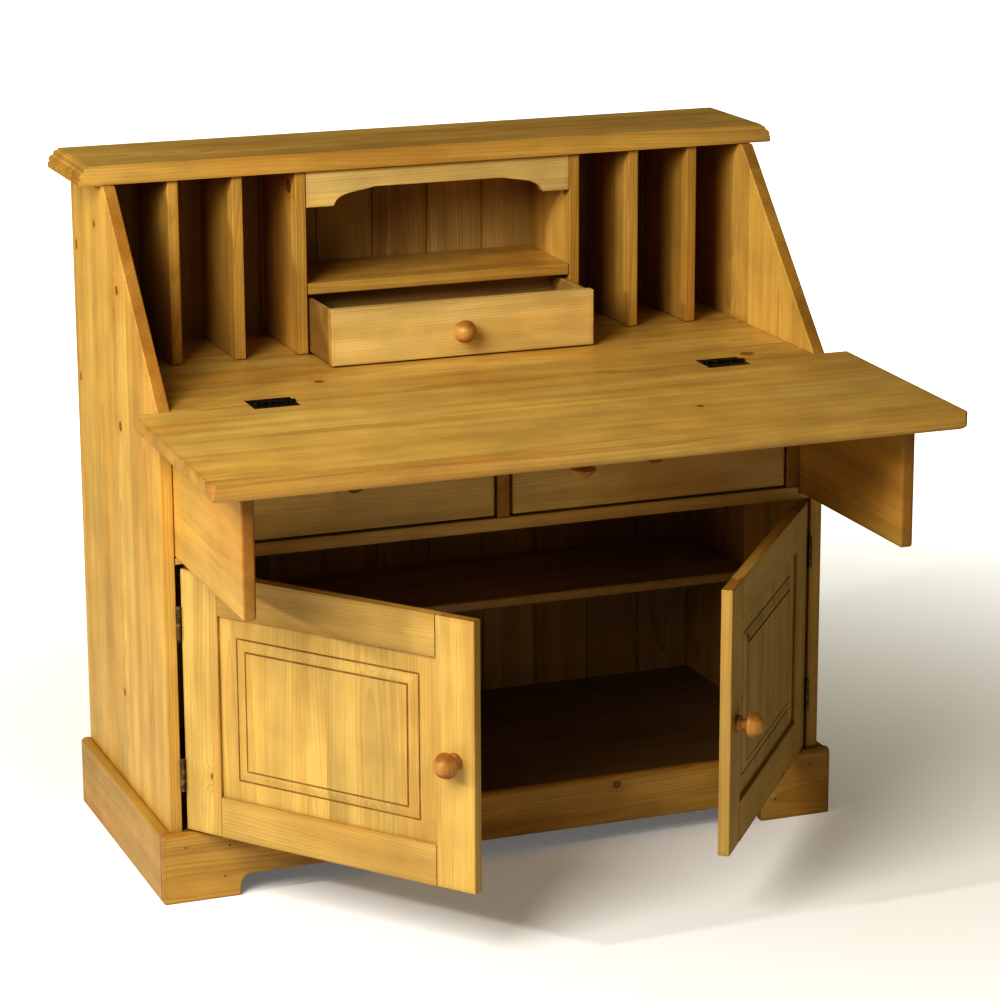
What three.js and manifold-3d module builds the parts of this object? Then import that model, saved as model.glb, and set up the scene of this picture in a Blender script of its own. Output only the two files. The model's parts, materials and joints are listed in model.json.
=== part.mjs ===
// A rustic pine bureau: a slant-front desk on a two-door cupboard, millimetres, +Z up, front towards -Y.
// The fall flap stands open on two pulled-out lopers, both doors stand ajar, the inner drawer is part open.
import * as THREE from 'three';
import { mergeVertices } from 'three/addons/utils/BufferGeometryUtils.js';
import Module from 'manifold-3d';

const wasm = await Module();
wasm.setup();
const { degToRad } = THREE.MathUtils;

// ---- driving dimensions ----------------------------------------------------------------------------
const GAP = 0.3;                 // air between pieces that touch
const PAST = 5;                  // how far a cutter reaches beyond the wood
const WIDTH = 1080;              // carcass, outside to outside
const DEPTH = 480;               // carcass, front plane (y = 0) to back
const HEIGHT = 1079;             // floor to the top board's upper face
const BOARD = 20;                // side panels
const HALF = WIDTH / 2;
const INNER = HALF - BOARD;      // half the clear width between the side panels
const CLEAR = INNER - GAP;       // half the length of a board that fits between them
const BACK = { thick: 12, low: 60 };
const INNER_BACK = DEPTH - BACK.thick - GAP;

// The top board is widest at its underside: a fillet, a quarter round above it and a narrow upper step.
const TOP = { thick: 30, overhang: 35, front: 285, fillet: 8, ease: 2, round: 15, roundHigh: 27, step: 17 };
const EAVES = HEIGHT - TOP.thick; // underside of the top board
const WRITING = 760;             // height of the writing surface and of the flap's hinge pins
const SLAB = 28;                 // writing board and flap
const SLOPE_RUN = 276.5;         // how far back the slant's upper end lies
const SLOPE_SETBACK = 1.4;       // the closed flap stays this far off the side panels, along Y

const FLAP = { half: 577, reach: 402, hingeGap: 1, round: 14, corner: 8 };
const DROOP = degToRad(1.3);     // how far the open flap falls towards its front edge
const LOPER = { thick: 20, length: 450, out: 346, low: 537, side: 0.7 };
const LOPER_HIGH = WRITING - SLAB / Math.cos(DROOP) - LOPER.out * Math.tan(DROOP) - GAP;
const DRAWER_BAY = { low: 547, high: 718, wall: 20.5, loperRoom: 1.5 };
const RAIL_LOW = 527;            // underside of the dust board above the doors
const UPPER_RAIL_DEEP = 60;

const DOOR = { low: 113, high: 522, thick: 18, stile: 66, rail: 63, hingeSide: 3.3, meeting: 1.5 };
const DOOR_OPEN = { left: 53, right: 52 }; // degrees, as it stands
const DOOR_KNOB = { diameter: 40, length: 42, fromEdge: 34, z: 309 };
const GROOVE = { wide: 7, deep: 9 };
const FIELD = { margin: 30, quirk: 0.8, ramp: 17, climb: 3, step: 1 };
const FLOOR = { high: 110, thick: 20 };
const SHELF = { high: 347, thick: 16, front: 225 };

const PLINTH = { high: 110, proud: 16, round: 8, footWide: 121, arch: 33, archFoot: 6, archRound: 18 };

const PIGEON = { front: 292, thick: 17.5, pitch: 102, left: -214, right: 226 };
const CENTRE_SHELF = { low: 854, thick: 18 };
const VALANCE = { thick: 16, ends: 57.5, middle: 31, flat: 45, ogee: 68, sag: 8 };
const INNER_DRAWER = { front: 18, wall: 9, out: 110, length: 168, side: 2, under: 2, over: 3, boxLower: 4 };
const LOWER_DRAWER = { front: 20, wall: 12, length: 440, gap: 3.5, boxLower: 20 };
const BOX_INSET = 1;             // a drawer's box is this much inside its front's outline
const DRAWER_KNOB = { diameter: 37, length: 36 };

const DOOR_HINGE = {
  length: 52, barrel: 3.5, reach: 17, plate: 1.2, pin: 2, off: 0.4, part: 0.15, heights: [200, 438],
};
const FLAP_HINGE = { length: 70, barrel: 3.5, reach: 27, plate: 1.6, pin: 1.5, part: 0.2, x: 365 };
const KNUCKLE_GAP = 0.2;
const FLAP_PULL = { diameter: 38, length: 28, x: -13, y: -350 };

// ---- materials ----------------------------------------------------------------------------------
const surface = (color, roughness, metalness) =>
  new THREE.MeshStandardMaterial({ color, roughness, metalness });
const wood = (color, roughness = 0.45) => surface(color, roughness, 0);
const PINE = wood(0xcf9f4a);
const PINE_SIDE = wood(0xdcb45c);
const PINE_TOP = wood(0xb98c3f);
const PINE_INSIDE = wood(0xa8752f, 0.6);
const PINE_TURNED = wood(0xc48a3c, 0.4);
const BLACK_IRON = surface(0x26221f, 0.45, 0.9);
const BRONZE = surface(0x4a3a26, 0.5, 0.9);

// ---- solids -------------------------------------------------------------------------------------
const block = (x0, x1, y0, y1, z0, z1) => new THREE.BoxGeometry(Math.abs(x1 - x0), y1 - y0, z1 - z0)
  .translate((x0 + x1) / 2, (y0 + y1) / 2, (z0 + z1) / 2);

const basis = (x, y, z) => new THREE.Matrix4().makeBasis(
  new THREE.Vector3(...x), new THREE.Vector3(...y), new THREE.Vector3(...z));

const shapeOf = (points) => new THREE.Shape(points.map(([u, v]) => new THREE.Vector2(u, v)));
const extrude = (outline, depth) => new THREE.ExtrudeGeometry(
  Array.isArray(outline) ? shapeOf(outline) : outline, { depth, bevelEnabled: false, curveSegments: 6 });

// An outline in Y and Z run along X, and an outline in X and Z run along Y.
const alongX = (outline, x0, x1) => extrude(outline, x1 - x0)
  .applyMatrix4(basis([0, 1, 0], [0, 0, 1], [1, 0, 0])).translate(x0, 0, 0);
const alongY = (outline, y0, y1) => extrude(outline, y1 - y0)
  .applyMatrix4(basis([1, 0, 0], [0, 0, 1], [0, -1, 0])).translate(0, y1, 0);

const rod = (radius, x0, x1, sides = 16) => new THREE.CylinderGeometry(radius, radius, x1 - x0, sides)
  .rotateZ(Math.PI / 2).translate((x0 + x1) / 2, 0, 0);

function solid(geometry) {
  const bare = geometry.clone();
  bare.deleteAttribute('normal');
  bare.deleteAttribute('uv');
  const merged = mergeVertices(bare, 1e-4);
  return new wasm.Manifold(new wasm.Mesh({
    numProp: 3,
    vertProperties: new Float32Array(merged.attributes.position.array),
    triVerts: new Uint32Array(merged.index.array),
  }));
}

function geometryOf(manifold) {
  const mesh = manifold.getMesh();
  const geometry = new THREE.BufferGeometry();
  geometry.setAttribute('position', new THREE.BufferAttribute(mesh.vertProperties, 3));
  geometry.setIndex(new THREE.BufferAttribute(mesh.triVerts, 1));
  geometry.computeVertexNormals();
  return geometry;
}

const join = (...pieces) => geometryOf(pieces.map(solid).reduce((a, b) => a.add(b)));
const cut = (whole, ...tools) => geometryOf(tools.map(solid).reduce((a, b) => a.subtract(b), solid(whole)));

const desk = new THREE.Group();

function piece(name, geometry, material, parent = desk) {
  const mesh = new THREE.Mesh(geometry, material);
  mesh.name = name;
  parent.add(mesh);
  return mesh;
}

// ---- turned knobs and butt hinges ---------------------------------------------------------------
// A knob turned about Y, its foot at y = 0: a flange, a waist, an undercut rim and a pointed round head.
function turnedKnob(diameter, length) {
  const head = diameter / 2;
  const outline = new THREE.Path();
  outline.moveTo(0, 0);
  outline.lineTo(head * 0.66, 0);
  outline.lineTo(head * 0.66, length * 0.1);
  outline.quadraticCurveTo(head * 0.64, length * 0.17, head * 0.5, length * 0.18);
  outline.quadraticCurveTo(head * 0.38, length * 0.28, head * 0.52, length * 0.36);
  outline.lineTo(head * 0.97, length * 0.47);
  outline.quadraticCurveTo(head * 1.02, length * 0.51, head * 0.95, length * 0.57);
  outline.quadraticCurveTo(head * 0.62, length * 0.93, 0, length);
  return new THREE.LatheGeometry(outline.getPoints(3), 20);
}
const forwardKnob = ({ diameter, length }) => turnedKnob(diameter, length).rotateX(Math.PI);

// One leaf of a butt hinge: pin along X, plate reaching towards +Y between two heights, its own knuckles.
// The leaf with the odd knuckles carries the pin, the other is bored for it.
function hingeLeaf({ length, barrel, reach, pin }, low, high, carriesPin) {
  const knuckle = length / 5;
  const pieces = [block(-length / 2, length / 2, barrel + 0.7, reach, low, high)];
  for (let i = carriesPin ? 0 : 1; i < 5; i += 2) {
    const x0 = -length / 2 + i * knuckle + (i > 0 ? KNUCKLE_GAP : 0);
    const x1 = -length / 2 + (i + 1) * knuckle - (i < 4 ? KNUCKLE_GAP : 0);
    pieces.push(rod(barrel, x0, x1, 12), block(x0, x1, 0, barrel + 1, low, high));
  }
  if (carriesPin) return join(...pieces, rod(pin, -length / 2, length / 2, 8));
  return cut(join(...pieces), rod(pin + GAP, -length / 2, length / 2, 8));
}

// ---- carcass ------------------------------------------------------------------------------------
const slopeFootZ = WRITING - SLOPE_SETBACK * (EAVES - WRITING) / SLOPE_RUN;
const sideOutline = [
  [0, 0], [DEPTH, 0], [DEPTH, EAVES - GAP], [SLOPE_RUN + SLOPE_SETBACK, EAVES - GAP], [0, slopeFootZ],
];

function topOutline() {
  const { ease, fillet, round, roundHigh, step, overhang } = TOP;
  const half = HALF + overhang;
  const shape = new THREE.Shape();
  shape.moveTo(ease - half, EAVES);
  shape.lineTo(half - ease, EAVES);
  shape.quadraticCurveTo(half, EAVES, half, EAVES + ease);
  shape.lineTo(half, EAVES + fillet);
  shape.quadraticCurveTo(half, EAVES + roundHigh, half - round, EAVES + roundHigh);
  shape.lineTo(half - step, EAVES + roundHigh);
  shape.lineTo(half - step, HEIGHT);
  shape.lineTo(step - half, HEIGHT);
  shape.lineTo(step - half, EAVES + roundHigh);
  shape.lineTo(round - half, EAVES + roundHigh);
  shape.quadraticCurveTo(-half, EAVES + roundHigh, -half, EAVES + fillet);
  shape.lineTo(-half, EAVES + ease);
  shape.quadraticCurveTo(-half, EAVES, ease - half, EAVES);
  return shape;
}

function buildCarcass() {
  piece('side_left', alongX(sideOutline, -HALF, -INNER), PINE_SIDE);
  piece('side_right', alongX(sideOutline, INNER, HALF), PINE_SIDE);
  piece('top_board', alongY(topOutline(), TOP.front, DEPTH), PINE_TOP);

  piece('back_panel', block(-CLEAR, CLEAR, DEPTH - BACK.thick, DEPTH, BACK.low, EAVES - GAP), PINE_INSIDE);
  piece('cupboard_floor',
    block(-CLEAR, CLEAR, GAP, INNER_BACK, FLOOR.high - FLOOR.thick, FLOOR.high), PINE_INSIDE);
  piece('cupboard_shelf',
    block(-CLEAR, CLEAR, SHELF.front, INNER_BACK, SHELF.high - SHELF.thick, SHELF.high), PINE_INSIDE);

  // The dust board is one full-depth board; its ends are stepped down so that the lopers can run on them.
  const wallOut = INNER - LOPER.thick - DRAWER_BAY.loperRoom;
  const step = LOPER.low - GAP;
  const dustOutline = [
    [-CLEAR, RAIL_LOW], [CLEAR, RAIL_LOW], [CLEAR, step], [wallOut, step],
    [wallOut, DRAWER_BAY.low], [-wallOut, DRAWER_BAY.low], [-wallOut, step], [-CLEAR, step],
  ];
  piece('dust_board', alongY(dustOutline, 0, INNER_BACK), PINE);

  const wallLow = DRAWER_BAY.low + GAP;
  const wallHigh = DRAWER_BAY.high - GAP;
  const wallIn = wallOut - DRAWER_BAY.wall;
  piece('drawer_wall_left', block(-wallOut, -wallIn, 0, INNER_BACK, wallLow, wallHigh), PINE);
  piece('drawer_wall_right', block(wallIn, wallOut, 0, INNER_BACK, wallLow, wallHigh), PINE);
  piece('drawer_divider',
    block(-DRAWER_BAY.wall / 2, DRAWER_BAY.wall / 2, 0, INNER_BACK, wallLow, wallHigh), PINE);
  piece('upper_rail',
    block(-wallOut, wallOut, 0, UPPER_RAIL_DEEP, DRAWER_BAY.high, WRITING - SLAB - GAP), PINE);
}

// ---- writing board, with recesses for the flap's hinges -----------------------------------------
// The recess holds one leaf, towards +Y of the pins, and the barrel; the pins lie at y = 0, z = 0.
function hingeRecess(x, sign) {
  const { length, barrel, reach, plate, part } = FLAP_HINGE;
  const half = length / 2 + GAP;
  const leaf = [sign * (reach + GAP), 0].sort((a, b) => a - b);
  return [
    block(x - half, x + half, ...leaf, -plate - 2 * part, PAST),
    rod(barrel + 0.7, x - half, x + half, 16),
  ];
}

const FLAP_LEAF = [-FLAP_HINGE.plate - FLAP_HINGE.part, -FLAP_HINGE.part];

function buildWritingBoard() {
  const board = block(-CLEAR, CLEAR, FLAP.hingeGap, INNER_BACK, -SLAB, 0);
  const recesses = [-1, 1].flatMap((side) => hingeRecess(side * FLAP_HINGE.x, 1));
  piece('writing_board', cut(board, ...recesses).translate(0, 0, WRITING), PINE_TOP);
  for (const [name, side] of [['left', -1], ['right', 1]]) {
    piece(`flap_hinge_${name}_fixed`, hingeLeaf(FLAP_HINGE, ...FLAP_LEAF, true), BLACK_IRON)
      .position.set(side * FLAP_HINGE.x, 0, WRITING);
  }
}

// ---- pigeonholes --------------------------------------------------------------------------------
function valanceOutline(x0, x1) {
  const { ends, middle, flat, ogee, sag } = VALANCE;
  const top = EAVES - GAP;
  const low = EAVES - ends;
  const high = EAVES - middle;
  const early = flat + ogee * 0.1;
  const late = flat + ogee * 0.5;
  const shape = new THREE.Shape();
  shape.moveTo(x0, top);
  shape.lineTo(x0, low);
  shape.lineTo(x0 + flat, low);
  shape.bezierCurveTo(x0 + early, high - sag / 2, x0 + late, high - sag, x0 + flat + ogee, high);
  shape.lineTo(x1 - flat - ogee, high);
  shape.bezierCurveTo(x1 - late, high - sag, x1 - early, high - sag / 2, x1 - flat, low);
  shape.lineTo(x1, low);
  shape.lineTo(x1, top);
  return shape;
}

function buildPigeonholes() {
  const { front, thick, pitch, left, right } = PIGEON;
  const partition = (number, x) => piece(`partition_${number}`,
    block(x, x + thick, front, INNER_BACK, WRITING + GAP, EAVES - GAP), PINE);
  for (let i = 0; i < 3; i += 1) {
    partition(3 - i, left - thick - i * pitch);
    partition(4 + i, right + i * pitch);
  }
  piece('pigeonhole_shelf', block(left + GAP, right - GAP, front, INNER_BACK,
    CENTRE_SHELF.low, CENTRE_SHELF.low + CENTRE_SHELF.thick), PINE);
  piece('valance', alongY(valanceOutline(left + GAP, right - GAP), front, front + VALANCE.thick), PINE);
}

// ---- plinth -------------------------------------------------------------------------------------
// A board with its upper outer edge rounded: outer face at u = -proud, inner face at u = -GAP.
function plinthOutline() {
  const { high, proud, round } = PLINTH;
  const shape = new THREE.Shape();
  shape.moveTo(-GAP, 0);
  shape.lineTo(-GAP, high);
  shape.lineTo(-proud + round, high);
  shape.absarc(-proud + round, high - round, round, Math.PI / 2, Math.PI, false);
  shape.lineTo(-proud, 0);
  return shape;
}

// The front board runs past the carcass and covers the front ends of the two side boards.
function buildPlinth() {
  const { proud, footWide, arch, archFoot, archRound } = PLINTH;
  const corner = HALF + proud;
  const foot = corner - footWide;
  const archShape = new THREE.Shape();
  archShape.moveTo(-foot, -PAST);
  archShape.lineTo(-foot, archFoot);
  archShape.quadraticCurveTo(-foot, arch, -foot + archRound, arch);
  archShape.lineTo(foot - archRound, arch);
  archShape.quadraticCurveTo(foot, arch, foot, archFoot);
  archShape.lineTo(foot, -PAST);
  piece('plinth_front',
    cut(alongX(plinthOutline(), -corner, corner), alongY(archShape, -proud - PAST, PAST)), PINE);

  const sideBoard = solid(alongY(plinthOutline(), 0, DEPTH));
  piece('plinth_left', geometryOf(sideBoard).translate(-HALF, 0, 0), PINE);
  piece('plinth_right', geometryOf(sideBoard.mirror([1, 0, 0])).translate(HALF, 0, 0), PINE);
}

// ---- flap ---------------------------------------------------------------------------------------
// What rounding a corner takes off: the corner lies at u = v = 0, with the wood towards -u and -v.
function cornerWaste(radius, depth, u, v) {
  const shape = new THREE.Shape();
  shape.moveTo(-radius, PAST);
  shape.lineTo(-radius, 0);
  shape.absarc(-radius, -radius, radius, Math.PI / 2, 0, true);
  shape.lineTo(PAST, -radius);
  shape.lineTo(PAST, PAST);
  const w = new THREE.Vector3(...u).cross(new THREE.Vector3(...v)).toArray();
  return extrude(shape, depth).applyMatrix4(basis(u, v, w));
}

// The flap's upper face is flat to its edges, and its lower edges are rounded.
function buildFlap() {
  const { half, reach, hingeGap, round, corner } = FLAP;
  const flap = new THREE.Group();
  flap.position.z = WRITING;
  flap.rotation.x = DROOP;
  desk.add(flap);

  const [left, right, forward, down] = [[-1, 0, 0], [1, 0, 0], [0, -1, 0], [0, 0, -1]];
  const wide = 2 * (half + PAST);
  const deep = reach + 2 * PAST;
  const high = SLAB + 2 * PAST;
  piece('flap_board', cut(
    block(-half, half, -reach, -hingeGap, -SLAB, 0),
    cornerWaste(round, wide, forward, down).translate(-half - PAST, -reach, -SLAB),
    cornerWaste(round, deep, right, down).translate(half, -reach - PAST, -SLAB),
    cornerWaste(round, deep, down, left).translate(-half, -reach - PAST, -SLAB),
    cornerWaste(corner, high, forward, right).translate(half, -reach, -SLAB - PAST),
    cornerWaste(corner, high, left, forward).translate(-half, -reach, -SLAB - PAST),
    ...[-1, 1].flatMap((side) => hingeRecess(side * FLAP_HINGE.x, -1)),
  ), PINE_TOP, flap);

  const pull = turnedKnob(FLAP_PULL.diameter, FLAP_PULL.length).rotateX(-Math.PI / 2);
  piece('flap_pull', pull, PINE_TURNED, flap).position.set(FLAP_PULL.x, FLAP_PULL.y, -SLAB - GAP);
  for (const [name, side] of [['left', -1], ['right', 1]]) {
    const leaf = hingeLeaf(FLAP_HINGE, ...FLAP_LEAF, false).rotateZ(Math.PI);
    piece(`flap_hinge_${name}_moving`, leaf, BLACK_IRON, flap).position.x = side * FLAP_HINGE.x;
  }
}

// ---- lopers ----------------------------------------------------------------------------------------
function buildLopers() {
  const outer = INNER - LOPER.side;
  const run = [-LOPER.out, -LOPER.out + LOPER.length, LOPER.low, LOPER_HIGH];
  piece('loper_left', block(-outer, -outer + LOPER.thick, ...run), PINE_SIDE);
  piece('loper_right', block(outer - LOPER.thick, outer, ...run), PINE_SIDE);
}

// ---- doors --------------------------------------------------------------------------------------
// The panel: an edge that sits in the frame's grooves, a flat margin, a scratched line, a curved ramp
// and a raised field in front.
function fieldedPanel(x0, x1, z0, z1, middle) {
  const { margin, quirk, ramp, climb, step } = FIELD;
  const face = middle - GROOVE.wide / 2 + GAP;
  const back = middle + GROOVE.wide / 2 - GAP;
  const ring = (inset, y) => [[x0 + inset, y, z0 + inset], [x1 - inset, y, z0 + inset],
    [x1 - inset, y, z1 - inset], [x0 + inset, y, z1 - inset]];
  const foot = GROOVE.deep + margin;
  const rings = [
    ring(0, back), ring(0, face), ring(foot, face), ring(foot + quirk, face + quirk),
  ];
  for (const part of [0, 0.25, 0.5, 0.75, 1]) {
    const rise = climb * part * part * (3 - 2 * part);
    rings.push(ring(foot + 2 * quirk + ramp * part, face - rise));
  }
  rings.push(ring(foot + 3 * quirk + ramp, face - climb - step));
  const positions = rings.flat(2);
  const index = [];
  for (let r = 0; r + 1 < rings.length; r += 1) {
    for (let i = 0; i < 4; i += 1) {
      const a = r * 4 + i;
      const b = r * 4 + (i + 1) % 4;
      index.push(a, b, b + 4, a, b + 4, a + 4);
    }
  }
  const last = (rings.length - 1) * 4;
  index.push(0, 2, 1, 0, 3, 2, last, last + 1, last + 2, last, last + 2, last + 3);
  const geometry = new THREE.BufferGeometry();
  geometry.setAttribute('position', new THREE.Float32BufferAttribute(positions, 3));
  geometry.setIndex(index);
  geometry.computeVertexNormals();
  return geometry;
}

// Door pieces are laid out closed, from the hinge pin towards the free edge.
function buildDoor(name, side, openDegrees) {
  const pinX = INNER - GAP - DOOR_HINGE.plate - DOOR_HINGE.part;
  const pinY = -DOOR_HINGE.barrel - DOOR_HINGE.off;
  const door = new THREE.Group();
  door.position.set(side * pinX, pinY, 0);
  door.rotation.z = degToRad(side * openDegrees);
  desk.add(door);

  const hingeEdge = pinX - INNER + DOOR.hingeSide;
  const freeEdge = pinX - DOOR.meeting;
  const y0 = -pinY;
  const y1 = y0 + DOOR.thick;
  const middle = (y0 + y1) / 2;
  const { stile, rail, low, high } = DOOR;
  const box = (x0, x1, ya, yb, z0, z1) => block(-side * x0, -side * x1, ya, yb, z0, z1);
  const grooveY = [middle - GROOVE.wide / 2, middle + GROOVE.wide / 2];
  const tenonY = [grooveY[0] + GAP, grooveY[1] - GAP];
  const tenon = GROOVE.deep - GAP;

  const stileIn = hingeEdge + stile;
  const stileOut = freeEdge - stile;
  const fullGroove = [low - PAST, high + PAST];
  piece(`door_${name}_hinge_stile`, cut(box(hingeEdge, stileIn, y0, y1, low, high),
    box(stileIn - GROOVE.deep, stileIn + PAST, ...grooveY, ...fullGroove)), PINE_SIDE, door);
  piece(`door_${name}_lock_stile`, cut(box(stileOut, freeEdge, y0, y1, low, high),
    box(stileOut - PAST, stileOut + GROOVE.deep, ...grooveY, ...fullGroove)), PINE_SIDE, door);

  const railPiece = (z0, z1, grooveZ) => cut(join(
    box(stileIn + GAP, stileOut - GAP, y0, y1, z0, z1),
    box(stileIn - tenon, stileOut + tenon, ...tenonY, z0, z1)),
  box(stileIn - 2 * tenon, stileOut + 2 * tenon, ...grooveY, ...grooveZ));
  const railLow = low + rail;
  const railHigh = high - rail;
  piece(`door_${name}_top_rail`,
    railPiece(railHigh, high, [railHigh - PAST, railHigh + GROOVE.deep]), PINE_SIDE, door);
  piece(`door_${name}_bottom_rail`,
    railPiece(low, railLow, [railLow - GROOVE.deep, railLow + PAST]), PINE_SIDE, door);

  const [a, b] = [-side * (stileIn - tenon), -side * (stileOut + tenon)].sort((p, q) => p - q);
  piece(`door_${name}_panel`, fieldedPanel(a, b, railLow - tenon, railHigh + tenon, middle), PINE, door);

  piece(`door_${name}_knob`, forwardKnob(DOOR_KNOB), PINE_TURNED, door)
    .position.set(-side * (freeEdge - DOOR_KNOB.fromEdge), y0 - GAP, DOOR_KNOB.z);

  // The fixed leaf lies against the side panel and the moving leaf on the door's edge.
  const upright = basis([0, 0, 1], [0, 1, 0], [-1, 0, 0]);
  const { part, plate } = DOOR_HINGE;
  const inward = [part, part + plate];
  const outward = [-part - plate, -part];
  const [fixedPlate, movingPlate] = side < 0 ? [inward, outward] : [outward, inward];
  const size = { ...DOOR_HINGE, reach: DOOR_HINGE.reach - pinY };
  DOOR_HINGE.heights.forEach((z, i) => {
    const where = i > 0 ? 'upper' : 'lower';
    const fixed = hingeLeaf(size, ...fixedPlate, true).applyMatrix4(upright);
    const moving = hingeLeaf(size, ...movingPlate, false).applyMatrix4(upright);
    piece(`door_${name}_${where}_hinge_fixed`, fixed, BRONZE).position.set(side * pinX, pinY, z);
    piece(`door_${name}_${where}_hinge_moving`, moving, BRONZE, door).position.z = z;
  });
}

// ---- drawers ------------------------------------------------------------------------------------
// Sides, back and bottom of a drawer as one box that the front closes.
function drawerBox(x0, x1, y0, y1, z0, z1, wall) {
  const bottom = wall * 0.75;
  return cut(block(x0, x1, y0, y1, z0, z1),
    block(x0 + wall, x1 - wall, y0 - PAST, y1 - wall, z0 + bottom, z1 + PAST));
}

function buildInnerDrawer() {
  const { front, wall, out, length, side, under, over, boxLower } = INNER_DRAWER;
  const drawer = new THREE.Group();
  drawer.position.y = -out;
  desk.add(drawer);
  const x0 = PIGEON.left + side;
  const x1 = PIGEON.right - side;
  const z0 = WRITING + under;
  const z1 = CENTRE_SHELF.low - over;
  const face = PIGEON.front;
  piece('inner_drawer_front', block(x0, x1, face, face + front, z0, z1), PINE, drawer);
  piece('inner_drawer_box', drawerBox(x0 + BOX_INSET, x1 - BOX_INSET, face + front + GAP, face + length,
    z0 + BOX_INSET, z1 - boxLower, wall), PINE_INSIDE, drawer);
  piece('inner_drawer_knob', forwardKnob(DRAWER_KNOB), PINE_TURNED, drawer)
    .position.set((x0 + x1) / 2 - 6, face - GAP, (z0 + z1) / 2 - 2);
}

function buildLowerDrawer(name, side) {
  const { gap, front, length, wall, boxLower } = LOWER_DRAWER;
  const drawer = new THREE.Group();
  desk.add(drawer);
  const bayEnd = INNER - LOPER.thick - DRAWER_BAY.loperRoom - DRAWER_BAY.wall;
  const ends = [side * (DRAWER_BAY.wall / 2 + gap), side * (bayEnd - gap)];
  const [x0, x1] = ends.sort((a, b) => a - b);
  const z0 = DRAWER_BAY.low + gap;
  const z1 = DRAWER_BAY.high - gap;
  piece(`drawer_${name}_front`, block(x0, x1, 0, front, z0, z1), PINE, drawer);
  piece(`drawer_${name}_box`, drawerBox(x0 + BOX_INSET, x1 - BOX_INSET, front + GAP, length,
    z0 + BOX_INSET, z1 - boxLower, wall), PINE_INSIDE, drawer);
  piece(`drawer_${name}_knob`, forwardKnob(DRAWER_KNOB), PINE_TURNED, drawer)
    .position.set((x0 + x1) / 2, -GAP, (z0 + z1) / 2);
}

buildCarcass();
buildWritingBoard();
buildPigeonholes();
buildPlinth();
buildFlap();
buildLopers();
buildDoor('left', -1, DOOR_OPEN.left);
buildDoor('right', 1, DOOR_OPEN.right);
buildInnerDrawer();
buildLowerDrawer('left', -1);
buildLowerDrawer('right', 1);

// The row's origin is the middle of the whole object's footprint, as it stands open, on the floor.
desk.updateMatrixWorld(true);
const extent = new THREE.Box3().setFromObject(desk, true);
desk.position.set(-(extent.min.x + extent.max.x) / 2, -(extent.min.y + extent.max.y) / 2, -extent.min.z);

export default desk;
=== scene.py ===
import json
import math

import bmesh
import bpy
from mathutils import Matrix, Vector


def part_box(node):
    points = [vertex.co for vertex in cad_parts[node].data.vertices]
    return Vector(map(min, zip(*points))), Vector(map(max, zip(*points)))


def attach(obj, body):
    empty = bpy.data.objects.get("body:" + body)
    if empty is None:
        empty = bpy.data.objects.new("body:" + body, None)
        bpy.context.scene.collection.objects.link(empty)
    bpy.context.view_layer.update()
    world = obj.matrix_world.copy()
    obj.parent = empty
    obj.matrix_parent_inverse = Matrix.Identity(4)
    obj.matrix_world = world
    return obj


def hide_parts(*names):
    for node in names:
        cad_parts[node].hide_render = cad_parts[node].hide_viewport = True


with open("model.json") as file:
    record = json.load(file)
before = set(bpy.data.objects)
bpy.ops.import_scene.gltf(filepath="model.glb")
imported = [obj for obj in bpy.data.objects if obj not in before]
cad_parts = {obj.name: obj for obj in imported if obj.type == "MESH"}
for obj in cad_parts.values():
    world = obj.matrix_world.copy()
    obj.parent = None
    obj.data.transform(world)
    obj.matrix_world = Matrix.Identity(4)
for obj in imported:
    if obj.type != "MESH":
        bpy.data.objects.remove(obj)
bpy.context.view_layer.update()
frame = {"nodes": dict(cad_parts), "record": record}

# The looks of a waxed pine slant-front desk. Metres, in the row frame: +X right, front towards -Y, +Z up.
scene = bpy.context.scene
X, Y, Z = Vector((1, 0, 0)), Vector((0, 1, 0)), Vector((0, 0, 1))
MM = 0.001


# ---- camera --------------------------------------------------------------------------------------
AZIMUTH, ELEVATION, ROLL = -20.91, 15.02, -0.22      # degrees
TARGET, DISTANCE = Vector((0.0585, 0.1381, 0.527)), 5.4
LENS = 123.06                                        # millimetres on a 36 mm sensor


def build_camera():
    data = bpy.data.cameras.new("camera")
    data.lens = LENS
    camera = bpy.data.objects.new("camera", data)
    turn = Matrix.Rotation(math.radians(AZIMUTH), 4, "Z")
    turn = turn @ Matrix.Rotation(math.radians(90 - ELEVATION), 4, "X")
    turn = turn @ Matrix.Rotation(math.radians(ROLL), 4, "Z")
    camera.matrix_world = Matrix.Translation(TARGET) @ turn @ Matrix.Translation((0, 0, DISTANCE))
    scene.collection.objects.link(camera)
    scene.camera = camera


build_camera()
scene.view_settings.view_transform = "Standard"
scene.view_settings.look = "High Contrast"


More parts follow.
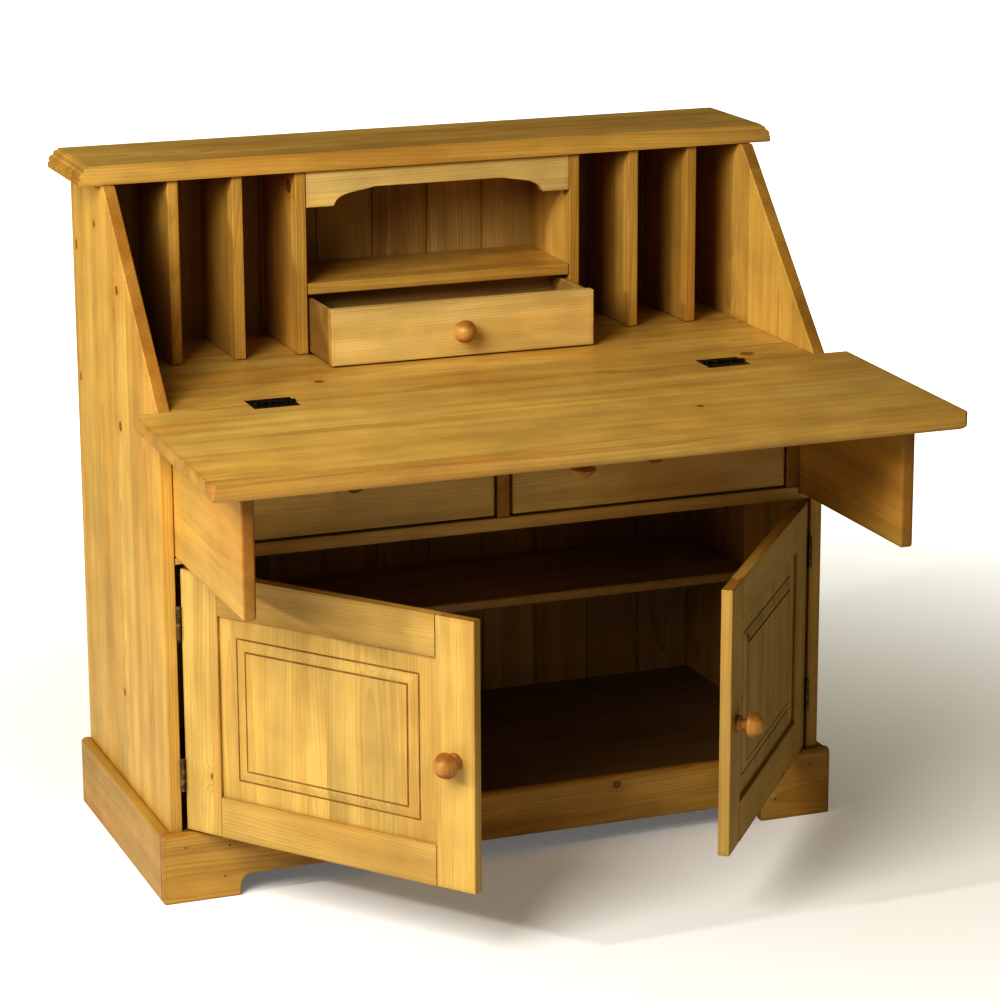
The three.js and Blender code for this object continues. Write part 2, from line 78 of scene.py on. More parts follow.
# ---- node trees ----------------------------------------------------------------------------------
class Tree:
    """Short calls that add nodes to one tree; a value may be a number, a tuple or another node's socket."""

    def __init__(self, tree):
        self.tree = tree

    def node(self, kind, values=None, **settings):
        node = self.tree.nodes.new(kind)
        for name, value in settings.items():
            setattr(node, name, value)
        for key, value in (values or {}).items():
            if isinstance(value, bpy.types.NodeSocket):
                self.tree.links.new(value, node.inputs[key])
            else:
                node.inputs[key].default_value = value
        return node

    def math(self, operation, *values, clamp=False):
        node = self.node("ShaderNodeMath", dict(enumerate(values)), operation=operation, use_clamp=clamp)
        return node.outputs[0]

    def vector(self, operation, *values):
        node = self.node("ShaderNodeVectorMath", dict(enumerate(values)), operation=operation)
        return node.outputs["Value" if operation in ("LENGTH", "DOT_PRODUCT", "DISTANCE") else "Vector"]

    def combine(self, x, y, z):
        return self.node("ShaderNodeCombineXYZ", {0: x, 1: y, 2: z}).outputs[0]

    def split(self, vector):
        return self.node("ShaderNodeSeparateXYZ", {0: vector}).outputs

    def noise(self, vector, scale=(1, 1, 1), detail=2.0, roughness=0.5):
        scaled = self.vector("MULTIPLY", vector, scale)
        node = self.node("ShaderNodeTexNoise", {"Vector": scaled, "Scale": 1.0, "Detail": detail,
                                                "Roughness": roughness})
        return node.outputs[0]

    def white(self, x, y, z=0.0):
        return self.node("ShaderNodeTexWhiteNoise", {"Vector": self.combine(x, y, z)})

    def smooth(self, value, low, high, out_low=0.0, out_high=1.0):
        node = self.node("ShaderNodeMapRange", {0: value, 1: low, 2: high, 3: out_low, 4: out_high},
                         interpolation_type="SMOOTHSTEP")
        return node.outputs[0]

    def mix(self, factor, a, b, blend="MIX"):
        node = self.node("ShaderNodeMix", {0: factor, 6: a, 7: b}, data_type="RGBA", blend_type=blend)
        return node.outputs[2]

    def ramp(self, factor, stops):
        node = self.node("ShaderNodeValToRGB", {0: factor})
        while len(node.color_ramp.elements) < len(stops):
            node.color_ramp.elements.new(0.5)
        for element, (place, value) in zip(node.color_ramp.elements, stops):
            element.position = place
            element.color = (value, value, value, 1)
        return node.outputs[0]


def rgba(r, g, b):
    return (r, g, b, 1.0)


def new_material(name):
    """A material, its tree, its shader and a call that links a socket to one of the shader's inputs."""
    material = bpy.data.materials.new(name)
    material.use_nodes = True
    shader = material.node_tree.nodes["Principled BSDF"]

    def feed(source, target):
        material.node_tree.links.new(source, shader.inputs[target])

    return material, Tree(material.node_tree), shader, feed


# ---- pine ----------------------------------------------------------------------------------------
RING = 0.0044          # spacing of the growth rings
KNOT_CELL = 0.21       # one chance of a knot in each square of this side


def build_pine_group():
    """Solid pine, X along the grain and Z across the face: ends show rings and faces show cathedrals."""
    group = bpy.data.node_groups.new("pine", "ShaderNodeTree")
    sockets = (("Seed", "NodeSocketFloat"), ("Stave", "NodeSocketFloat"), ("Half", "NodeSocketVector"),
               ("Early", "NodeSocketColor"), ("Late", "NodeSocketColor"), ("Knots", "NodeSocketFloat"),
               ("Figure", "NodeSocketFloat"), ("ShadeLines", "NodeSocketVector"))
    for name, kind in sockets:
        group.interface.new_socket(name, in_out="INPUT", socket_type=kind)
    for name, kind in (("Color", "NodeSocketColor"), ("Roughness", "NodeSocketFloat"),
                       ("Normal", "NodeSocketVector")):
        group.interface.new_socket(name, in_out="OUTPUT", socket_type=kind)
    t = Tree(group)
    given = t.node("NodeGroupInput").outputs
    seed = given["Seed"]
    place = t.node("ShaderNodeTexCoord").outputs["Object"]
    x, y, z = t.split(place)

    # Glued staves: each has its own pith, its own place along the tree and its own tone.
    across = t.math("ADD", t.math("DIVIDE", y, given["Stave"]), t.math("MULTIPLY", seed, 7.31))
    index = t.math("FLOOR", across)
    inside = t.math("MULTIPLY", t.math("SUBTRACT", t.math("SUBTRACT", across, index), 0.5), given["Stave"])
    own = t.split(t.white(index, seed, 3.7).outputs["Color"])
    tone = t.split(t.white(index, seed, 9.1).outputs["Color"])
    tree = t.combine(t.math("MULTIPLY_ADD", own[0], 9.0, x), t.math("MULTIPLY_ADD", own[1], 5.0, inside),
                     t.math("MULTIPLY_ADD", seed, 3.3, z))

    # Knots push the rings aside.
    cell = t.combine(t.math("MULTIPLY_ADD", own[0], 3.0, x), t.math("MULTIPLY_ADD", own[2], 2.0, y), 0.0)
    voronoi = t.node("ShaderNodeTexVoronoi", {"Vector": t.vector("MULTIPLY", cell, (1 / KNOT_CELL,) * 3),
                                              "Scale": 1.0, "Randomness": 0.85}, voronoi_dimensions="2D")
    chance = t.split(voronoi.outputs["Color"])
    there = t.math("LESS_THAN", chance[0], given["Knots"])
    radius = t.math("MULTIPLY_ADD", t.math("POWER", chance[1], 2.0), 0.0085, 0.0030)
    wobble = t.noise(tree, (90, 90, 90), 1.0)
    away = t.math("MULTIPLY", voronoi.outputs["Distance"], KNOT_CELL)
    away = t.math("MULTIPLY", away, t.math("MULTIPLY_ADD", wobble, 0.5, 0.75))
    near = t.math("DIVIDE", away, radius)
    fade = t.math("EXPONENT", t.math("MULTIPLY", t.math("POWER", near, 2.0), -0.14))
    halo = t.math("MULTIPLY", there, fade)
    knot = t.math("MULTIPLY", there, t.smooth(near, 1.12, 0.86))

    # Growth rings round the pith, bent along the trunk.
    sway = t.math("MULTIPLY", t.math("SUBTRACT", t.noise(tree, (1.3, 7, 7), 1.0), 0.5), 0.046)
    fine = t.math("MULTIPLY", t.math("SUBTRACT", t.noise(tree, (7, 55, 55), 2.0), 0.5), 0.0030)
    pith_y = t.math("MULTIPLY", t.math("SUBTRACT", own[1], 0.5), t.math("MULTIPLY", given["Stave"], 1.3))
    dy = t.math("SUBTRACT", inside, pith_y)
    dz = t.math("ADD", z, t.math("MULTIPLY_ADD", own[2], 0.062, 0.016))
    rings = t.math("SQRT", t.math("ADD", t.math("MULTIPLY", dy, dy), t.math("MULTIPLY", dz, dz)))
    taper = t.math("MULTIPLY", x, t.math("MULTIPLY_ADD", own[0], 0.05, -0.025))
    for part in (sway, fine, taper, t.math("MULTIPLY", halo, 0.011)):
        rings = t.math("ADD", rings, part)
    uneven = t.math("MULTIPLY", t.noise(t.combine(rings, seed, own[0]), (52, 1, 9), 1.0), 1.5)
    count = t.math("ADD", t.math("DIVIDE", rings, RING), uneven)
    within = t.math("FRACT", count)
    strength = t.white(t.math("FLOOR", count), seed, 1.1).outputs["Value"]
    late = t.ramp(within, ((0.0, 0.0), (0.35, 0.10), (0.70, 0.42), (0.90, 1.0), (0.965, 0.75), (1.0, 0.0)))
    late = t.math("MULTIPLY", late, t.math("MULTIPLY_ADD", strength, 0.6, 0.4))

    # Fibres, resin streaks and broad colour drift.
    fibre = t.noise(tree, (11, 620, 620), 2.0, 0.6)
    streak = t.noise(tree, (1.7, 38, 38), 3.0, 0.55)
    drift = t.noise(tree, (1.9, 3.6, 3.6), 2.0)
    shade = t.smooth(streak, 0.42, 0.72)

    ring_mix = t.math("MULTIPLY", late, given["Figure"])
    colour = t.mix(ring_mix, given["Early"], given["Late"])
    colour = t.mix(t.math("MULTIPLY", shade, 0.55), colour, given["Late"])
    amber = t.mix(1.0, given["Late"], rgba(1.08, 0.84, 0.58), "MULTIPLY")
    colour = t.mix(t.smooth(drift, 0.46, 0.70, 0.0, 0.42), colour, amber)
    colour = t.mix(t.math("MULTIPLY", tone[0], 0.38), colour, given["Late"])
    level = t.math("MULTIPLY_ADD", tone[1], 0.16, 0.92)
    bands = t.smooth(t.noise(tree, (3.2, 20, 20), 3.0, 0.6), 0.30, 0.70, 0.86, 1.08)
    level = t.math("MULTIPLY", level, bands)
    mottle = t.smooth(t.noise(place, (13, 13, 13), 3.0), 0.30, 0.70, 0.93, 1.05)
    level = t.math("MULTIPLY", level, mottle)
    level = t.math("MULTIPLY", level, t.smooth(fibre, 0.2, 0.8, 0.955, 1.035))
    colour = t.mix(1.0, colour, t.combine(level, level, level), "MULTIPLY")
    colour = t.mix(t.math("MULTIPLY", halo, 0.38), colour, amber)
    core = t.mix(t.smooth(near, 0.25, 1.0), rgba(0.235, 0.088, 0.022), rgba(0.072, 0.026, 0.008))
    colour = t.mix(t.math("MULTIPLY", knot, 0.86), colour, core)

    # The wax is deeper and the wood a little bruised along the arrises.
    half = t.split(given["Half"])
    edges = [t.math("SUBTRACT", h, t.math("ABSOLUTE", p)) for h, p in zip(half, (x, y, z))]
    pairs = [t.math("MAXIMUM", edges[a], edges[b]) for a, b in ((0, 1), (1, 2), (0, 2))]
    arris = t.math("MINIMUM", pairs[0], t.math("MINIMUM", pairs[1], pairs[2]))
    reach = t.math("MULTIPLY_ADD", t.noise(place, (26, 26, 26), 3.0), 0.018, -0.001)
    worn = t.smooth(arris, 0.0008, reach, 1.0, 0.0)
    waxed = t.mix(1.0, colour, rgba(0.58, 0.44, 0.26), "MULTIPLY")
    colour = t.mix(t.math("MULTIPLY", worn, 0.26), colour, waxed)

    # End grain drinks more wax and is darker.
    end = t.math("ABSOLUTE", t.split(t.node("ShaderNodeTexCoord").outputs["Normal"])[0])
    colour = t.mix(t.smooth(end, 0.35, 0.75, 0.0, 0.72), colour, waxed)

    # Painted shade and old wax: dark lines painted along the scratched groove and the step up to the field
    # that run round a panel, at two distances from its edge, where these recesses would lie in shade.
    inset = t.math("MINIMUM", edges[0], edges[1])
    shade_lines = t.split(given["ShadeLines"])
    for shade_line in (shade_lines[0], shade_lines[1]):
        line = t.smooth(t.math("ABSOLUTE", t.math("SUBTRACT", inset, shade_line)), 0.0, shade_lines[2], 1.0, 0.0)
        line = t.math("MULTIPLY", line, t.smooth(t.noise(place, (40, 40, 40), 2.0), 0.25, 0.6, 0.45, 0.85))
        colour = t.mix(line, colour, rgba(0.19, 0.085, 0.022))

    rough = t.math("MULTIPLY_ADD", t.noise(place, (9, 9, 9), 3.0), 0.22, 0.30)
    rough = t.math("ADD", rough, t.math("MULTIPLY", fibre, 0.10))
    rough = t.math("SUBTRACT", rough, t.math("MULTIPLY", late, 0.06))
    dents = t.noise(place, (34, 34, 34), 2.0)
    height = t.math("MULTIPLY_ADD", late, 0.35, t.math("MULTIPLY", fibre, 0.30))
    height = t.math("MULTIPLY_ADD", dents, 1.1, height)
    height = t.math("MULTIPLY_ADD", knot, -0.5, height)
    bump = t.node("ShaderNodeBump", {"Strength": 0.45, "Distance": 0.0005, "Height": height}).outputs[0]
    t.node("NodeGroupOutput", {"Color": colour, "Roughness": rough, "Normal": bump})
    return group


PINE = build_pine_group()

# Pale early wood and amber late wood for each surface of the desk, in linear colour.
TONES = {
    "side": (rgba(0.640, 0.425, 0.118), rgba(0.440, 0.238, 0.046)),
    "front": (rgba(0.600, 0.390, 0.105), rgba(0.400, 0.208, 0.038)),
    "pale": (rgba(0.730, 0.555, 0.235), rgba(0.570, 0.375, 0.120)),
    "top": (rgba(0.680, 0.465, 0.140), rgba(0.450, 0.248, 0.050)),
    "door": (rgba(0.570, 0.400, 0.122), rgba(0.395, 0.225, 0.048)),
    "plinth": (rgba(0.500, 0.310, 0.072), rgba(0.330, 0.165, 0.026)),
    "inside": (rgba(0.560, 0.400, 0.160), rgba(0.330, 0.190, 0.056)),
    # dark is painted shade: a much darker copy of the pine for the cupboard's floor, which lies in shade
    # inside the cupboard.
    "dark": (rgba(0.250, 0.165, 0.070), rgba(0.150, 0.085, 0.032)),
    "turned": (rgba(0.560, 0.320, 0.090), rgba(0.360, 0.165, 0.034)),
}
GOLDEN = 0.6180339     # spreads the boards' seeds evenly
board_numbers = iter(range(1, 400))


def pine_material(name, half, tone, stave=0.095, knots=0.16, figure=0.8, shade_lines=(-1, -1, 0.001)):
    material, tree, shader, feed = new_material(name)
    early, late = TONES[tone]
    seed = next(board_numbers) * GOLDEN % 1.0 + 0.1
    group = tree.node("ShaderNodeGroup", node_tree=PINE)
    values = {"Seed": seed, "Stave": stave, "Half": half, "Early": early, "Late": late, "Knots": knots,
              "Figure": figure, "ShadeLines": shade_lines}
    for key, value in values.items():
        group.inputs[key].default_value = value
    for source, target in (("Color", "Base Color"), ("Roughness", "Roughness"), ("Normal", "Normal")):
        feed(group.outputs[source], target)
    shader.inputs["Specular IOR Level"].default_value = 0.42
    shader.inputs["Coat Weight"].default_value = 0.06
    shader.inputs["Coat Roughness"].default_value = 0.28
    return material


# ---- metal ---------------------------------------------------------------------------------------
def metal_material(name, dark, bright, rough):
    material, t, shader, feed = new_material(name)
    place = t.node("ShaderNodeTexCoord").outputs["Object"]
    cloud = t.noise(place, (120, 120, 120), 4.0, 0.6)
    scratch = t.noise(place, (60, 900, 900), 2.0)
    rubbed = t.smooth(t.math("ADD", cloud, t.math("MULTIPLY", scratch, 0.25)), 0.56, 0.80)
    feed(t.mix(rubbed, dark, bright), "Base Color")
    feed(t.smooth(cloud, 0.3, 0.7, rough - 0.10, rough + 0.14), "Roughness")
    bump = t.node("ShaderNodeBump", {"Strength": 0.3, "Distance": 0.0002, "Height": cloud}).outputs[0]
    feed(bump, "Normal")
    shader.inputs["Metallic"].default_value = 0.85
    return material


BLACK = metal_material("black_iron", rgba(0.018, 0.015, 0.013), rgba(0.085, 0.075, 0.062), 0.42)
BRONZE = metal_material("bronze", rgba(0.095, 0.062, 0.034), rgba(0.30, 0.205, 0.105), 0.46)


# ---- boards --------------------------------------------------------------------------------------
def tidy(bm, width, segments, sharp):
    """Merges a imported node's triangles into clean faces and rounds its arrises."""
    bmesh.ops.remove_doubles(bm, verts=bm.verts, dist=1e-6)
    bmesh.ops.dissolve_limit(bm, angle_limit=math.radians(0.6), verts=bm.verts, edges=bm.edges)
    if width:
        arrises = [e for e in bm.edges
                   if len(e.link_faces) == 2 and e.is_convex and e.calc_face_angle() > math.radians(sharp)]
        round_edges(bm, arrises, width, segments)


def round_edges(bm, edges, width, segments):
    bmesh.ops.bevel(bm, geom=edges, offset=width, offset_type="OFFSET", segments=segments, profile=0.5,
                    affect="EDGES", clamp_overlap=True)


def new_object(name, bm, matrix, material, smooth_angle=42):
    mesh = bpy.data.meshes.new(name)
    bm.to_mesh(mesh)
    bm.free()
    mesh.materials.append(material)
    for polygon in mesh.polygons:
        polygon.use_smooth = True
    mesh.set_sharp_from_angle(angle=math.radians(smooth_angle))
    piece = bpy.data.objects.new(name, mesh)
    scene.collection.objects.link(piece)
    piece.matrix_world = matrix
    weighted = piece.modifiers.new("normals", "WEIGHTED_NORMAL")
    weighted.keep_sharp = True
    return piece


def face_normal(mesh):
    """The direction that most of a board's surface faces."""
    totals = {}
    for polygon in mesh.polygons:
        n = polygon.normal
        n = -n if (n.x, n.y, n.z) < (0, 0, 0) else n
        key = (round(n.x, 2), round(n.y, 2), round(n.z, 2))
        area, total = totals.get(key, (0.0, Vector()))
        totals[key] = (area + polygon.area, total + n * polygon.area)
    return max(totals.values(), key=lambda found: found[0])[1].normalized()


def board_frame(mesh, along):
    """A matrix whose X is the grain, Z the face and origin the middle of the board; along None is level."""
    z = face_normal(mesh)
    x = (along - z * along.dot(z)).normalized() if along else Z.cross(z).normalized()
    y = z.cross(x)
    turn = Matrix((x, y, z)).transposed()
    inverse = turn.inverted()
    points = [inverse @ v.co for v in mesh.vertices]
    low = Vector([min(p[i] for p in points) for i in range(3)])
    high = Vector([max(p[i] for p in points) for i in range(3)])
    centre = turn @ ((low + high) / 2)
    return Matrix.Translation(centre) @ turn.to_4x4(), (high - low) / 2


def body_of(node):
    groups = frame["record"]["behaviour"]["bodies"]
    return next(body for body, members in groups.items() if node in members)


def dress(piece, node):
    """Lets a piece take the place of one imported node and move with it."""
    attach(piece, body_of(node))
    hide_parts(node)


def board(node, along, tone, width=1.6 * MM, **look):
    """A packed board, cleaned up, with rounded arrises and grain along its length."""
    source = frame["nodes"][node].data
    matrix, half = board_frame(source, along)
    bm = bmesh.new()
    bm.from_mesh(source)
    bmesh.ops.transform(bm, matrix=matrix.inverted(), verts=bm.verts)
    tidy(bm, width, 3, 35)
    material = pine_material(f"pine_{node}", half, tone, **look)
    dress(new_object(f"{node}_wood", bm, matrix, material), node)


def build_boards():
    for side in ("left", "right"):
        board(f"side_{side}", Z, "side", 2.2 * MM, stave=0.098, knots=0.20)
        board(f"loper_{side}", Y, "front", 4.2 * MM, stave=0.11, knots=0.08)
        board(f"drawer_wall_{side}", Y, "front", stave=0.2)
        board(f"plinth_{side}", Y, "plinth", 2.5 * MM, stave=0.2, knots=0.2)
        board(f"drawer_{side}_front", X, "pale", 4.0 * MM, stave=0.2, knots=0.3)
        board(f"door_{side}_hinge_stile", Z, "door", 1.8 * MM, stave=0.2, knots=0.1)
        board(f"door_{side}_lock_stile", Z, "door", 1.8 * MM, stave=0.2, knots=0.1)
        board(f"door_{side}_top_rail", None, "door", 1.2 * MM, stave=0.2, knots=0.2)
        board(f"door_{side}_bottom_rail", None, "door", 1.2 * MM, stave=0.2, knots=0.2)
    board("writing_board", X, "top", 0.6 * MM, stave=0.12, knots=0.12)
    board("flap_board", X, "top", 1.4 * MM, stave=0.105, knots=0.13)
    # Painted shade: the cupboard floor takes the dark tone to stand for the shade inside the cupboard.
    board("cupboard_floor", X, "dark", stave=0.11)
    board("cupboard_shelf", X, "inside", 2.5 * MM, stave=0.11)
    board("dust_board", X, "pale", 1.2 * MM, stave=0.12)
    board("drawer_divider", Y, "front", stave=0.2)
    board("upper_rail", X, "front", 1.0 * MM, stave=0.2)
    board("plinth_front", X, "plinth", 3.0 * MM, stave=0.2, knots=0.05)
    board("pigeonhole_shelf", X, "front", 2.0 * MM, stave=0.2)
    board("valance", X, "pale", 1.6 * MM, stave=0.2, knots=0.1)
    board("inner_drawer_front", X, "pale", 2.4 * MM, stave=0.2, knots=0.1)
    for number in range(1, 7):
        board(f"partition_{number}", Z, "front", 2.0 * MM, stave=0.2, knots=0.1)
    for name in ("inner_drawer", "drawer_left", "drawer_right"):
        board(f"{name}_box", X, "inside", 1.0 * MM, stave=0.2, knots=0.1)


build_boards()


# ---- door panels and top board ------------------------------------------------------------------
# A door panel's face, from its edge inwards: distance from the edge and height over the margin, mm.
PANEL = ((0, 0.0), (38.6, 0.0), (39.3, -1.3), (40.4, -1.5), (41.2, 0.1), (44.5, 0.7),
         (49.0, 2.3), (53.5, 3.5), (56.3, 3.7), (57.0, 2.5), (58.2, 2.5), (59.0, 4.2))
PANEL_RISE = 4 * MM
# Painted shade: the dark lines painted along each panel's groove and step, with old wax in them.
PANEL_SHADE_LINES = (0.0399, 0.0576, 0.0024)      # both lines' distances from the edge, and their half width
CORNERS = ((-1, -1), (1, -1), (1, 1), (-1, 1))


def fielded_panel(side):
    """The panel's flat margin, scratched line, curved ramp and raised field, mitred at the corners."""
    node = f"door_{side}_panel"
    matrix, half = board_frame(frame["nodes"][node].data, Z)
    if (matrix.to_3x3() @ Z).y > 0:
        matrix = matrix @ Matrix.Rotation(math.pi, 4, "X")
    margin = half.z - PANEL_RISE
    rings = [(0.0, -half.z)] + [(inset * MM, margin + height * MM) for inset, height in PANEL]
    bm = bmesh.new()
    loops = []
    for inset, height in rings:
        x, y = half.x - inset, half.y - inset
        loops.append([bm.verts.new((a * x, b * y, height)) for a, b in CORNERS])
    for lower, upper in zip(loops, loops[1:]):
        for i in range(4):
            k = (i + 1) % 4
            bm.faces.new((lower[i], lower[k], upper[k], upper[i]))
    bm.faces.new(loops[0][::-1])
    bm.faces.new(loops[-1])
    material = pine_material(f"pine_{node}", half, "door", stave=0.13, knots=0.1, figure=0.75,
                             shade_lines=PANEL_SHADE_LINES)
    dress(new_object(f"{node}_wood", bm, matrix, material, 14), node)


# The end of the top board, from its underside up: distance in from the widest point and height, mm.
TOP_END = ((2.0, 0.0), (0.5, 0.6), (0.0, 2.0), (0.0, 8.0), (0.5, 9.3), (2.6, 9.5), (2.6, 11.2),
           (1.5, 11.8), (1.6, 14.2), (2.9, 17.0), (5.2, 19.2), (8.4, 20.4), (9.6, 20.6), (9.6, 22.4),
           (9.0, 23.2), (10.4, 25.4), (13.6, 26.9), (16.4, 27.4), (17.0, 28.4), (17.6, 29.6), (18.6, 30.0))


def moulded_top():
    """The top board, its ends worked with two scratched lines between three small rounds."""
    low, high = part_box("top_board")
    line = [(inset * MM, height * MM) for inset, height in TOP_END]
    right = [(high.x - inset, low.z + height) for inset, height in line]
    left = [(low.x + inset, low.z + height) for inset, height in reversed(line)]
    middle = (low + high) / 2
    half = (high - low) / 2
    bm = bmesh.new()
    front, back = ([bm.verts.new(Vector((x, y, z)) - middle) for x, z in right + left]
                   for y in (low.y, high.y))
    front_face = bm.faces.new(front)
    bm.faces.new(back[::-1])
    for i in range(len(front)):
        k = (i + 1) % len(front)
        bm.faces.new((front[k], front[i], back[i], back[k]))
    round_edges(bm, list(front_face.edges), 2.2 * MM, 3)
    material = pine_material("pine_top_board", half, "top", stave=0.1, knots=0.12)
    dress(new_object("top_board_wood", bm, Matrix.Translation(middle), material, 40), "top_board")


moulded_top()
for hand in ("left", "right"):
    fielded_panel(hand)


# ---- back boards --------------------------------------------------------------------------------
BACK_BOARDS = 11
BACK_GAP = 0.5 * MM


def box(bm, low, high):
    """Adds a box between two corners."""
    made = bmesh.ops.create_cube(bm, size=1.0)
    size, middle = high - low, (high + low) / 2
    for vert in made["verts"]:
        vert.co = Vector(size[i] * vert.co[i] + middle[i] for i in range(3))


def build_back():
    """The back is made of upright boards with a bead of shadow between them."""
    low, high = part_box("back_panel")
    step = (high.x - low.x) / BACK_BOARDS
    pieces = []
    for number in range(BACK_BOARDS):
        half = Vector(((step - BACK_GAP) / 2, (high.y - low.y) / 2, (high.z - low.z) / 2))
        centre = Vector((low.x + step * (number + 0.5), (low.y + high.y) / 2, (low.z + high.z) / 2))
        bm = bmesh.new()
        turned = Vector((half.z, half.x, half.y))
        box(bm, -turned, turned)
        tidy(bm, 1.6 * MM, 2, 35)
        turn = Matrix((Z, X, Y)).transposed().to_4x4()
        material = pine_material(f"pine_back_{number}", turned, "inside", stave=0.2, knots=0.06, figure=1.0)
        piece = new_object(f"back_board_{number}", bm, Matrix.Translation(centre) @ turn, material)
        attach(piece, body_of("back_panel"))
        pieces.append(piece)
    for piece in pieces:
        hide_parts("back_panel")


build_back()


# ---- turned knobs -------------------------------------------------------------------------------
KNOB_HALF = Vector((1, 1, 1))      # far outside the knob, so that no part of it is drawn as a worn arris
# From the foot up: radius and height as shares of the head's radius and the length, and roundness there.
KNOB = ((0, 0, 0), (0.655, 0, 0.0), (0.665, 0.11, 0.7), (0.62, 0.165, 0.6), (0.50, 0.185, 0.5),
        (0.40, 0.27, 0.9), (0.55, 0.37, 0.5), (0.96, 0.47, 0.25), (1.0, 0.50, 0.6),
        (0.985, 0.555, 0.5), (0.80, 0.78, 0.9), (0.42, 0.955, 0.9), (0, 1.0, 0))


def facing(place, out):
    """A matrix that stands a turned shape at a place, its axis pointing out."""
    return Matrix.Translation(place) @ out.to_track_quat("Z", "X").to_matrix().to_4x4()


def smooth_profile(points, steps):
    """A rounded line through points of (radius, height, roundness of the corner there)."""
    line = [points[0][:2]]
    for before, here, after in zip(points, points[1:], points[2:]):
        a, b, c = Vector(before[:2]), Vector(here[:2]), Vector(after[:2])
        if not here[2]:
            line.append(tuple(b))
            continue
        start = b + (a - b) * 0.5 * here[2]
        end = b + (c - b) * 0.5 * here[2]
        for k in range(steps + 1):
            u = k / steps
            line.append(tuple(start.lerp(b, u).lerp(b.lerp(end, u), u)))
    line.append(points[-1][:2])
    return line


def lathe(bm, profile, sides):
    """Turns a line of (radius, height) about Z; a radius of zero closes to a point."""
    rings = []
    for radius, height in profile:
        if radius < 1e-6:
            rings.append([bm.verts.new((0, 0, height))])
            continue
        angles = (2 * math.pi * i / sides for i in range(sides))
        rings.append([bm.verts.new((radius * math.cos(a), radius * math.sin(a), height)) for a in angles])
    for lower, upper in zip(rings, rings[1:]):
        for i in range(sides):
            k = (i + 1) % sides
            corners = [lower[i % len(lower)], lower[k % len(lower)],
                       upper[k % len(upper)], upper[i % len(upper)]]
            bm.faces.new(list(dict.fromkeys(corners)))


def knob(node, out):
    """A turned knob in the place of a packed one; out points away from the board that it stands on."""
    mesh = frame["nodes"][node].data
    heights = [v.co.dot(out) for v in mesh.vertices]
    middle = sum((v.co for v in mesh.vertices), Vector()) / len(mesh.vertices)
    foot, length = min(heights), max(heights) - min(heights)
    axis = Vector((middle - out * middle.dot(out)))
    head = max((v.co - out * v.co.dot(out) - axis).length for v in mesh.vertices)
    profile = [(r * head, h * length) for r, h in smooth_profile(KNOB, 4)]
    bm = bmesh.new()
    lathe(bm, profile, 40)
    material = pine_material(f"pine_{node}", KNOB_HALF, "turned", stave=0.2, knots=0.0, figure=0.9)
    dress(new_object(f"{node}_turned", bm, facing(axis + out * foot, out), material, 50), node)


def build_knobs():
    for side in ("left", "right"):
        door = face_normal(frame["nodes"][f"door_{side}_lock_stile"].data)
        knob(f"door_{side}_knob", door if door.y < 0 else -door)
        knob(f"drawer_{side}_knob", -Y)
    knob("inner_drawer_knob", -Y)
    under = face_normal(frame["nodes"]["flap_board"].data)
    knob("flap_pull", under if under.z < 0 else -under)


build_knobs()


# ---- hinges -------------------------------------------------------------------------------------
SCREW_RADIUS = 2.7 * MM
SCREW_STEPS = 10       # sides of each half of a head


def screw(bm, place, out, radius, rise):
    """A screw head with a slot across it; a countersunk one hardly rises."""
    matrix = facing(place, out)
    slot = radius * 0.14
    for side in (-1, 1):
        top, rim = [], []
        for i in range(SCREW_STEPS + 1):
            a = math.pi * i / SCREW_STEPS
            x, y = radius * math.cos(a), side * max(radius * math.sin(a), slot)
            rim.append(bm.verts.new(matrix @ Vector((x, y, 0))))
            top.append(bm.verts.new(matrix @ Vector((0.72 * x, side * max(abs(0.72 * y), slot), rise))))
        bm.faces.new(top if side > 0 else top[::-1])
        for i in range(len(rim) - 1):
            quad = [rim[i], rim[i + 1], top[i + 1], top[i]]
            bm.faces.new(quad if side > 0 else quad[::-1])
        wall = [rim[-1], rim[0], top[0], top[-1]]
        bm.faces.new(wall if side > 0 else wall[::-1])


def hinge(node, material, screws, out, run, length, across, rise):
    """A butt hinge's leaf with softened edges, and its screw heads in a row of three along the leaf."""
    source = frame["nodes"][node].data
    bm = bmesh.new()
    bm.from_mesh(source)
    tidy(bm, 0.3 * MM, 2, 50)
    for step in (-1, 0, 1):
        place = screws + run * (step * length * 0.36) + across * (2.4 * MM * (1 if step else -1))
        screw(bm, place, out, SCREW_RADIUS, rise)
    dress(new_object(f"{node}_leaf", bm, Matrix.Identity(4), material), node)


def leaf_middle(node):
    """The middle of a leaf's plate: the mean place of its largest flat."""
    mesh = frame["nodes"][node].data
    normal = face_normal(mesh)
    flats = [p for p in mesh.polygons if abs(p.normal.dot(normal)) > 0.99 and p.area > 2e-5]
    area = sum(p.area for p in flats)
    return normal, sum((p.center * p.area for p in flats), Vector()) / area


def build_hinges():
    for side in ("left", "right"):
        for kind in ("fixed", "moving"):
            node = f"flap_hinge_{side}_{kind}"
            normal, middle = leaf_middle(node)
            normal = normal if normal.z > 0 else -normal
            hinge(node, BLACK, middle + normal * 0.8 * MM, normal, X, 0.07, normal.cross(X), 0.9 * MM)
            for where in ("lower", "upper"):
                node = f"door_{side}_{where}_hinge_{kind}"
                normal, middle = leaf_middle(node)
                inward = normal if (normal.x > 0) == (side == "left") else -normal
                outward = inward if kind == "fixed" else -inward
                place = middle + outward * 0.6 * MM
                hinge(node, BRONZE, place, outward, Z, 0.052, normal.cross(Z), 0.1 * MM)


build_hinges()


# ---- nails --------------------------------------------------------------------------------------
# Outline of a nail head in metres, and the places of those on the left foot, from the middle and the floor.
NAIL = ((0, 0.25 * MM), (1.1 * MM, 0.22 * MM), (1.7 * MM, 0.0), (1.7 * MM, -0.3 * MM), (0, -0.3 * MM))
NAIL_PLACES = ((0.521, 0.088), (0.452, 0.083), (0.46, 0.035))


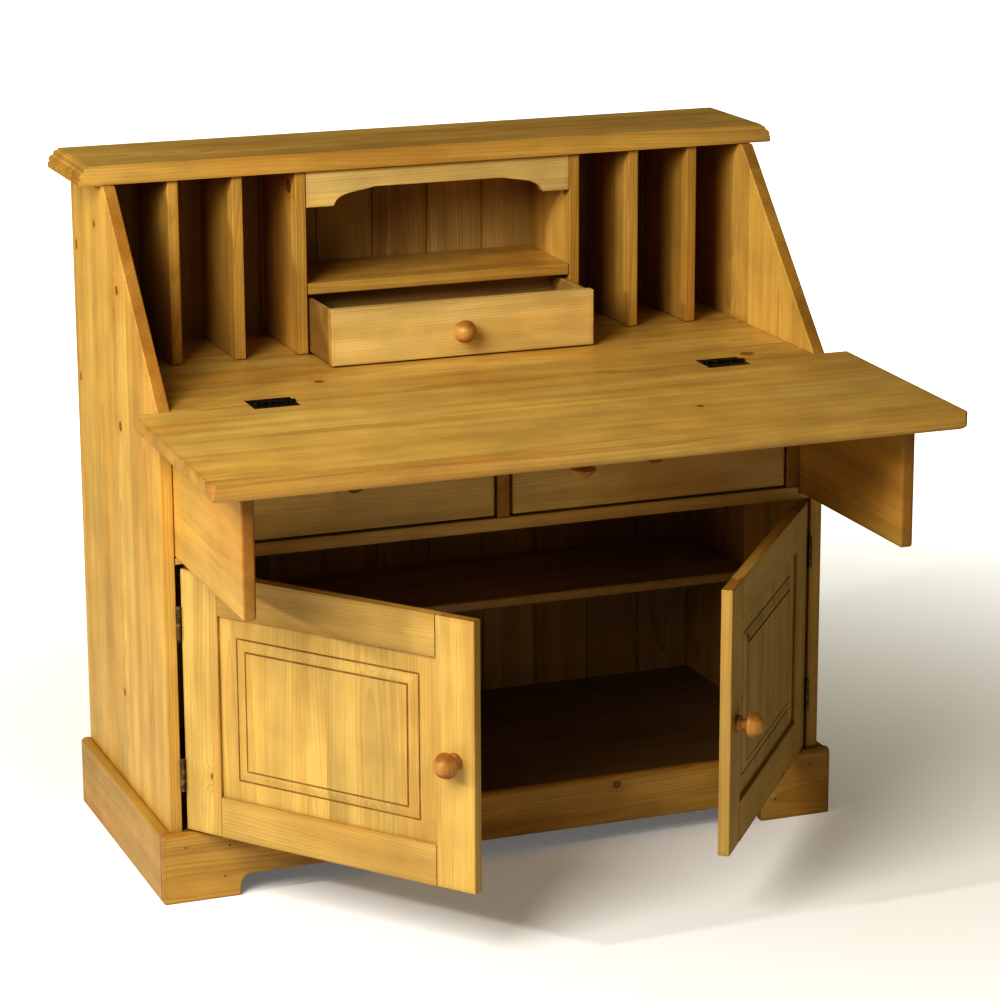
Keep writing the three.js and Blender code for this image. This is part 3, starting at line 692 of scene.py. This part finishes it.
def nail_material():
    material, t, _, feed = new_material("filled_nail")
    place = t.node("ShaderNodeTexCoord").outputs["Object"]
    cloud = t.noise(place, (700, 700, 700), 3.0)
    colour = t.mix(t.smooth(cloud, 0.35, 0.65), rgba(0.075, 0.036, 0.012), rgba(0.15, 0.075, 0.024))
    feed(colour, "Base Color")
    feed(t.smooth(cloud, 0.3, 0.7, 0.45, 0.7), "Roughness")
    return material


def build_nails():
    """Filled nail heads where the plinth's front board is fixed to the carcass."""
    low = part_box("plinth_front")[0]
    material = nail_material()
    places = [(side * x, z) for side in (-1, 1) for x, z in NAIL_PLACES]
    for number, (x, z) in enumerate(places):
        bm = bmesh.new()
        lathe(bm, NAIL, 14)
        bmesh.ops.reverse_faces(bm, faces=bm.faces)
        piece = new_object(f"plinth_nail_{number}", bm, facing((x, low.y, z), -Y), material)
        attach(piece, "carcass")


build_nails()


# ---- stage ---------------------------------------------------------------------------------------
def build_stage():
    """A pale floor that, to the camera only, glows more with distance from the desk and so stays pale."""
    bm = bmesh.new()
    bmesh.ops.create_grid(bm, x_segments=1, y_segments=1, size=30)
    mesh = bpy.data.meshes.new("floor")
    bm.to_mesh(mesh)
    bm.free()
    material, t, shader, feed = new_material("floor")
    shader.inputs["Base Color"].default_value = rgba(0.92, 0.92, 0.92)
    shader.inputs["Roughness"].default_value = 0.9
    shader.inputs["Emission Color"].default_value = rgba(1.0, 1.0, 1.0)
    away = t.vector("LENGTH", t.node("ShaderNodeTexCoord").outputs["Object"])
    seen = t.node("ShaderNodeLightPath").outputs["Is Camera Ray"]
    glow = t.math("MULTIPLY", t.smooth(away, 0.4, 3.2, 0.12, 0.92), seen)
    feed(glow, "Emission Strength")
    mesh.materials.append(material)
    floor = bpy.data.objects.new("floor", mesh)
    scene.collection.objects.link(floor)


LAMP_AIM = Vector((0, 0, 0.6))


def lamp(name, power, size, azimuth, elevation, distance, colour):
    data = bpy.data.lights.new(name, "AREA")
    data.energy = power
    data.size = size
    data.color = colour
    light = bpy.data.objects.new(name, data)
    a, e = math.radians(azimuth), math.radians(elevation)
    back = Vector((math.sin(a) * math.cos(e), -math.cos(a) * math.cos(e), math.sin(e)))
    light.location = LAMP_AIM + back * distance
    light.rotation_euler = back.to_track_quat("Z", "Y").to_euler()
    scene.collection.objects.link(light)


def build_lights():
    world = bpy.data.worlds.new("studio")
    scene.world = world
    world.use_nodes = True
    background = world.node_tree.nodes["Background"]
    background.inputs["Color"].default_value = rgba(1.0, 0.87, 0.46)
    background.inputs["Strength"].default_value = 0.15
    lamp("key", 88, 1.6, -52, 33, 3.4, (1.0, 0.985, 0.95))
    lamp("side", 33, 0.16, -80, 20, 3.6, (1.0, 0.98, 0.94))


build_stage()
build_lights()
